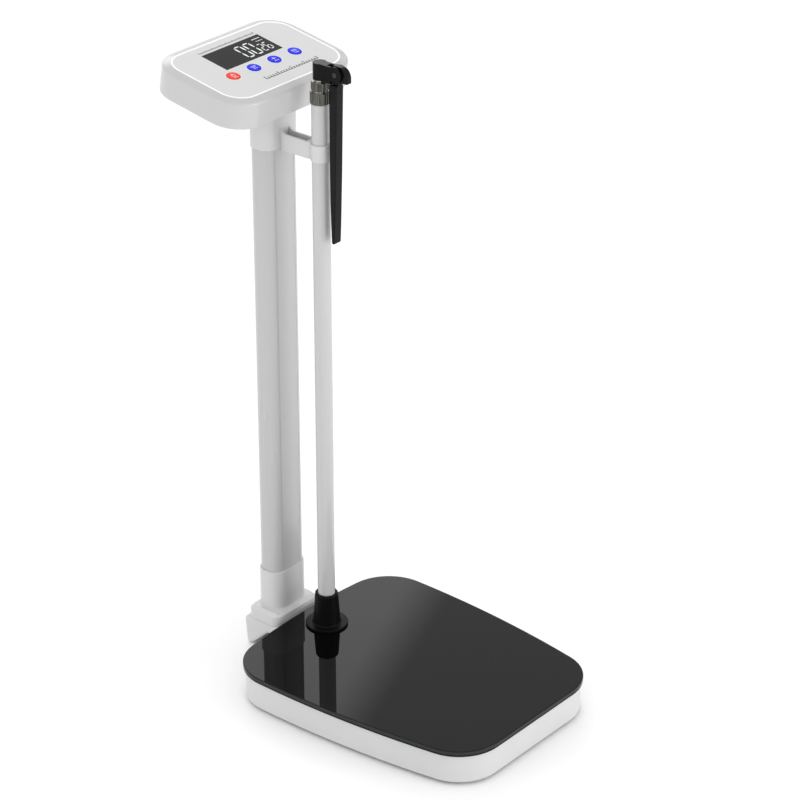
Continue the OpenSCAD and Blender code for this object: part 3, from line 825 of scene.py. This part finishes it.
# The bars of each sign: middle across, middle up, width, height and any extra thickness
SIGNS = {
    "switch": ((0, 2.2, 0.7, 3.6, 0.02), (0, -4.6, 6.0, 0.6, 0)),
    "bars": ((0, 2.2, 7.6, 0.8, 0), (0, 0.0, 5.0, 0.8, 0), (0, -2.6, 6.6, 0.7, 0)),
    "cross": ((0, 1.4, 5.6, 0.8, 0), (0, 1.4, 0.8, 5.6, 0), (0, -3.6, 6.6, 0.7, 0)),
    "columns": ((-2.4, 1.2, 0.8, 4.6, 0), (0, 1.2, 0.8, 4.6, 0), (2.4, 1.2, 0.8, 4.6, 0),
                (0, -3.4, 6.4, 0.7, 0)),
}


def slab(made, x, y, width, length, low, high):
    block(made, (x - width / 2, y - length / 2, low), (x + width / 2, y + length / 2, high))


def key_marks(sign):
    if sign == "switch":
        made = lathe([(2.1, SIGN_LOW), (2.75, SIGN_LOW), (2.75, SIGN_HIGH), (2.1, SIGN_HIGH)], 40)
    else:
        made = bmesh.new()
    for x, y, width, length, extra in SIGNS[sign]:
        slab(made, x, y, width, length, SIGN_LOW, SIGN_HIGH + extra)
    return made


KEY_LIST = (("power", "power_key", "button_power", key_red, "button_red", "switch"),
            ("one", "key_one", "button_one", key_blue, "button_blue", "bars"),
            ("two", "key_two", "button_two", key_blue, "button_blue", "cross"),
            ("three", "key_three", "button_three", key_blue, "button_blue", "columns"))
for x, (label, body, node, colour, slot_name, sign) in zip(KEYS, KEY_LIST):
    seat = FACE @ Matrix.Translation((x, 0, 0))
    key = lathe([(0, -10.0), (4.2, -10.0), (4.5, -9.7), (4.5, -0.6), (7.9, -0.6), (8.0, -0.5),
                 (8.0, 0.0), (7.93, 0.14), (7.75, 0.22), (5.0, KEY_TOP), (0, KEY_TOP)], 72)
    bmesh.ops.transform(key, matrix=seat, verts=key.verts)
    add_piece(key, f"key_cap_{label}", body, colour, [node], sharp=40)
    marks = key_marks(sign)
    bmesh.ops.transform(marks, matrix=seat, verts=marks.verts)
    add_piece(marks, f"key_sign_{label}", body, ink_light)
    halo = lathe([(8.55, PRINT_LOW), (9.1, PRINT_LOW), (9.1, PRINT_HIGH), (8.55, PRINT_HIGH)],
                 72)
    bmesh.ops.transform(halo, matrix=seat, verts=halo.verts)
    add_piece(halo, f"key_ring_{label}", "scale", bead_white)

# %% [markdown]
# ## Display
# A smoked window covers a plain seven-segment display. Each segment is a circle of six
# sides, stretched into a bar with pointed ends, which is exactly the shape of a segment.
# Four figures stand in the right half, two large and two small, with a few plain bars.

# %% Window finish
lens_dark = finish("smoked_window", grey(0.014), grey(0.020), 0.14, 0.2, specular=0.06,
                   drift=12.0, grain_scale=300.0, grain_depth=0.000003)
window = copy_of("display_lens")
soften(window, 0.25, 2)
add_piece(window, "display_window", "scale", lens_dark, ["display_lens"], turn=False)

# %% Figures
LIT_LOW, LIT_HIGH = -0.41, -0.36
LIT = {"0": "abcdef", "2": "abged", "6": "afgedc"}
SEGMENTS = {"a": (0, 1, 0), "d": (0, -1, 0), "g": (0, 0, 0), "b": (0.5, 0.5, 1),
            "c": (0.5, -0.5, 1), "e": (-0.5, -0.5, 1), "f": (-0.5, 0.5, 1)}


def figure(made, sign, x, y, width, height, thick):
    half = height / 2
    for letter in LIT[sign]:
        across, up, upright = SEGMENTS[letter]
        bar = bmesh.ops.create_circle(made, cap_ends=True, segments=6, radius=1.0)["verts"]
        length = (half if upright else width) - thick * 0.95
        bmesh.ops.scale(made, vec=(length / 2 + thick * 0.25, thick / 1.732, 1), verts=bar)
        if upright:
            bmesh.ops.rotate(made, cent=(0, 0, 0), matrix=Matrix.Rotation(math.pi / 2, 3, "Z"),
                             verts=bar)
        bmesh.ops.translate(made, vec=(x + across * width, y + up * half, LIT_LOW), verts=bar)


lit = bmesh.new()
for sign, x, y, width, height, thick in (("0", 2.0, 32.0, 9.0, 25.0, 2.0),
                                         ("0", 15.8, 32.0, 9.0, 25.0, 2.0),
                                         ("2", 27.6, 27.6, 5.6, 15.0, 1.3),
                                         ("6", 36.2, 27.6, 5.6, 15.0, 1.3)):
    figure(lit, sign, x, y, width, height, thick)
raised = bmesh.ops.extrude_face_region(lit, geom=lit.faces[:], use_keep_orig=True)["geom"]
bmesh.ops.translate(lit, vec=(0, 0, LIT_HIGH - LIT_LOW),
                    verts=[g for g in raised if isinstance(g, bmesh.types.BMVert)])
for i in range(4):
    slab(lit, 30.6 + 3.2 * i, 46.6, 2.2, 1.6, LIT_LOW, LIT_HIGH)
slab(lit, 36.0, 41.2, 11.0, 0.7, LIT_LOW, LIT_HIGH)
bmesh.ops.transform(lit, matrix=FACE, verts=lit.verts)
add_piece(lit, "display_figures", "scale", segment_white)

# %% [markdown]
# ## Printed marks
# The film carries two plain printed scales in place of lettering: a fine row of ticks
# above the window, and a bolder row below the keys.

# %% Printed marks
def tick_scale(made, count, left, pitch, foot, sizes, line):
    tick_width, short, tall = sizes
    for i in range(count):
        length = short if i % 5 else tall
        slab(made, left + i * pitch, foot + length / 2, tick_width, length, PRINT_LOW, PRINT_HIGH)
    slab(made, *line, PRINT_LOW, PRINT_HIGH)


marks = bmesh.new()
tick_scale(marks, 41, -44, 2.2, 57.2, (0.95, 1.5, 2.6), (0, 56.9, 88.6, 0.6))
tick_scale(marks, 21, -24, 4.2, -26, (1.5, 3.0, 5.2), (18.0, -26.4, 85.5, 1.1))
bmesh.ops.transform(marks, matrix=FACE, verts=marks.verts)
add_piece(marks, "printed_scales", "scale", ink_dark)

# %% [markdown]
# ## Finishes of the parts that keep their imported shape
# The parts inside the base and the head, and the small hidden fittings, already have
# their right shape. They get a finish of their own, and nothing else. The board has
# fine lighter lines in its green mask, and the cells have a pale band.

# %% Board and cells
STRIPE_FROM = 0.82

board_green = finish("solder_mask", (0.012, 0.16, 0.05), (0.008, 0.11, 0.035), 0.25, 0.35,
                     coat=0.2)
cell_sleeve = finish("cell_sleeve", (0.03, 0.10, 0.45), (0.02, 0.07, 0.36), 0.25, 0.35,
                     coat=0.2)


def add_stripes(material, colour, scale):
    tree = material.node_tree
    shader = tree.nodes["Principled BSDF"]
    where = tree.nodes.new("ShaderNodeTexCoord")
    pattern = tree.nodes.new("ShaderNodeTexWave")
    pattern.inputs["Scale"].default_value = scale
    tree.links.new(where.outputs["Object"], pattern.inputs["Vector"])
    mixed = tree.nodes.new("ShaderNodeMix")
    mixed.data_type = "RGBA"
    mixed.inputs["B"].default_value = (*colour, 1.0)
    share = tree.nodes.new("ShaderNodeMath")
    share.operation = "GREATER_THAN"
    share.inputs[1].default_value = STRIPE_FROM
    tree.links.new(pattern.outputs["Fac"], share.inputs[0])
    tree.links.new(share.outputs["Value"], mixed.inputs["Factor"])
    tree.links.new(shader.inputs["Base Color"].links[0].from_socket, mixed.inputs["A"])
    tree.links.new(mixed.outputs["Result"], shader.inputs["Base Color"])


add_stripes(board_green, (0.05, 0.30, 0.10), 160.0)
add_stripes(cell_sleeve, (0.75, 0.75, 0.72), 9.0)
print("board and cells patterned")

# %% Finishes by node
KEPT = {
    "base_pan": zinc, "deck_frame": zinc, "glass_gasket": soft_black, "rod_socket": zinc,
    "column_plug": dark_plastic, "column_screws": screw_steel, "middle_bush": dark_plastic,
    "inner_bush": dark_plastic, "head_mount": saddle_steel, "head_cover": shell_white,
    "head_screws": screw_steel, "face_sheet": film_grey, "display_module": dark_plastic,
    "main_board": board_green, "dome_switches": dome_steel, "battery_pack": cell_sleeve,
    "power_jack": dark_plastic,
}
KEPT.update({f"load_cell_{corner}": zinc for corner in FEET})
for node, material in KEPT.items():
    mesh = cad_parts[node].data
    mesh.materials.clear()
    mesh.materials.append(material)
left_over = [n for n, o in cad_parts.items() if n not in KEPT and not o.hide_render]
print(len(KEPT), "nodes keep their shape; without a finish:", left_over)
